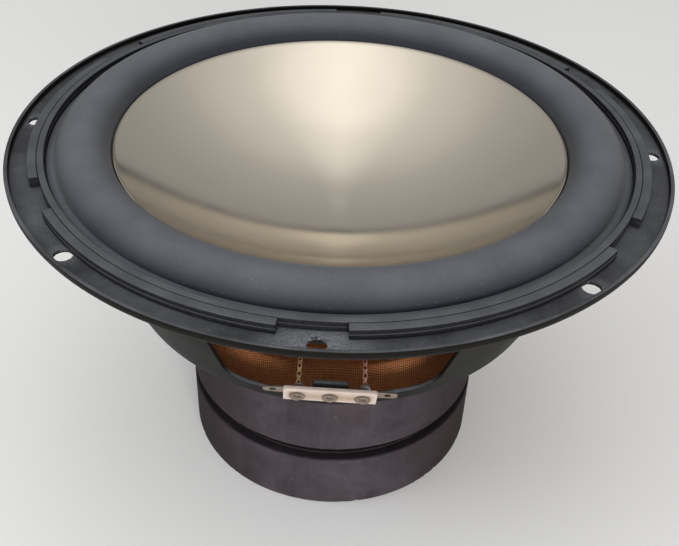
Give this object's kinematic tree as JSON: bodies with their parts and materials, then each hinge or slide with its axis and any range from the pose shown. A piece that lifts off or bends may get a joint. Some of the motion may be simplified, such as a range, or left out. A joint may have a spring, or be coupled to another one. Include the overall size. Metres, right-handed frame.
{
  "type": "car subwoofer driver",
  "caption": "Round subwoofer driver: dished metal cone on a wide rubber roll, pressed black basket with side windows, stacked ring magnets and a terminal strip.",
  "frame": {"origin": "centre of the underside of the lower magnet, on the driver's axis", "axes": "+Z along the driver's axis towards the cone, -Y at the terminal strip, +X to the right when the strip faces the viewer"},
  "size_m": [0.26, 0.26, 0.1566],
  "materials": {
    "black_paint": "satin black baked paint on pressed steel, lightly dusty, scratched round the mounting holes",
    "gasket_board": "matt black pressed board in two layers",
    "surround_rubber": "satin blue-grey rubber with a film of dust",
    "plated_steel": "dark blackened steel",
    "ferrite": "matt ground ferrite, dusty grey with a brown-purple cast",
    "spider_cloth": "resin-stiffened open-weave orange-brown cloth",
    "cream_board": "cream moulded terminal board",
    "tinned_brass": "tinned brass, dull",
    "tinsel_braid": "copper tinsel braided round a thread",
    "champagne_metal": "polished champagne-gold metal with a soft, circular satin",
    "former_foil": "plain aluminium foil",
    "kraft_paper": "brown kraft paper",
    "copper_wire": "enamelled copper"
  },
  "bodies": {
    "frame": {"basket": "black_paint", "gasket_ring": "gasket_board", "surround": "surround_rubber", "top_plate": "plated_steel", "upper_magnet": "ferrite", "pole_yoke": "plated_steel", "lower_magnet": "ferrite", "spider": "spider_cloth", "basket_rivet_1": "plated_steel", "basket_rivet_2": "plated_steel", "basket_rivet_3": "plated_steel", "basket_rivet_4": "plated_steel", "terminal_board": "cream_board", "solder_lug_left": "tinned_brass", "solder_lug_right": "tinned_brass", "terminal_rivet_left": "tinned_brass", "terminal_rivet_middle": "tinned_brass", "terminal_rivet_right": "tinned_brass", "tinsel_lead_left": "tinsel_braid", "tinsel_lead_right": "tinsel_braid"},
    "cone_assembly": {"cone": "champagne_metal", "coil_former": "former_foil", "former_collar": "kraft_paper", "coil_winding": "copper_wire", "lead_anchor_left": "copper_wire", "lead_anchor_right": "copper_wire"}
  },
  "joints": [
    {"name": "cone_travel", "type": "slide", "parent": "frame", "child": "cone_assembly", "axis": [0, 0, 1], "range_m": [-0.008, 0.008], "stiffness_N_per_m": 4500, "deforming": ["surround", "spider", "tinsel_lead_left", "tinsel_lead_right"]}
  ]
}
